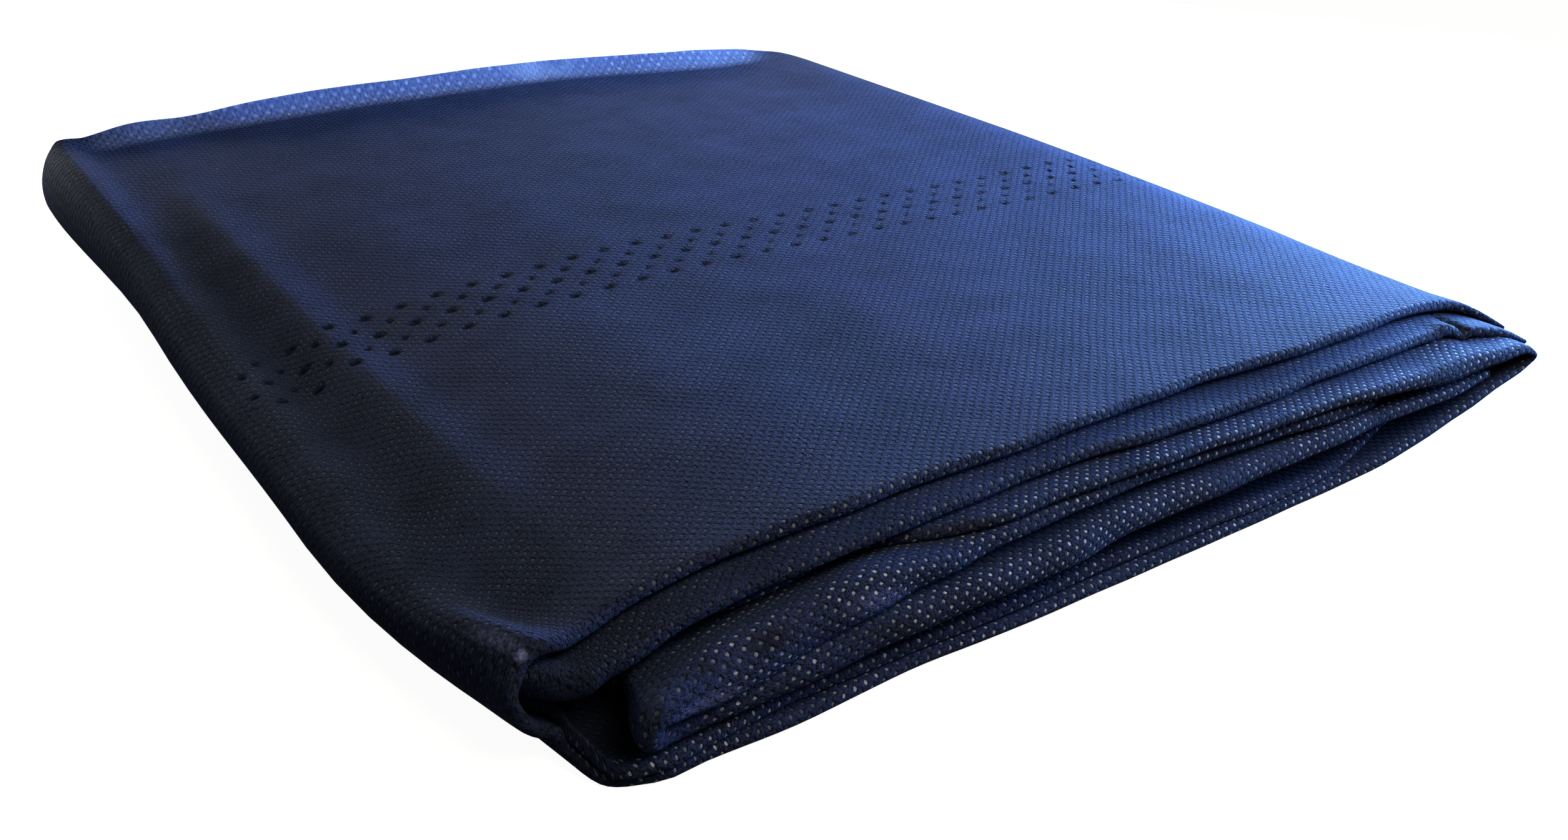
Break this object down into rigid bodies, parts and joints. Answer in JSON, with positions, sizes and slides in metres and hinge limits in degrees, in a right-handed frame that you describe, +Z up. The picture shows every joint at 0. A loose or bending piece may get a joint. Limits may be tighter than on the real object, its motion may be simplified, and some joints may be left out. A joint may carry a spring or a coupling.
{
  "type": "folded disposable blanket",
  "caption": "Folded disposable nonwoven blanket: a thin navy sheet doubled lengthwise, then rolled up flat into a low stack with soft front folds and a raised free edge at the back.",
  "frame": {"origin": "centre of the bounding box, at the resting face", "axes": "+X along the front edge towards the end with the loose strip end, +Y from the front folds to the back edge, +Z up"},
  "size_m": [0.28, 0.3239, 0.0405],
  "materials": {
    "nonwoven": "matt, point-bonded, slightly fuzzy"
  },
  "bodies": {
    "root": {"blanket": "nonwoven"}
  },
  "joints": []
}
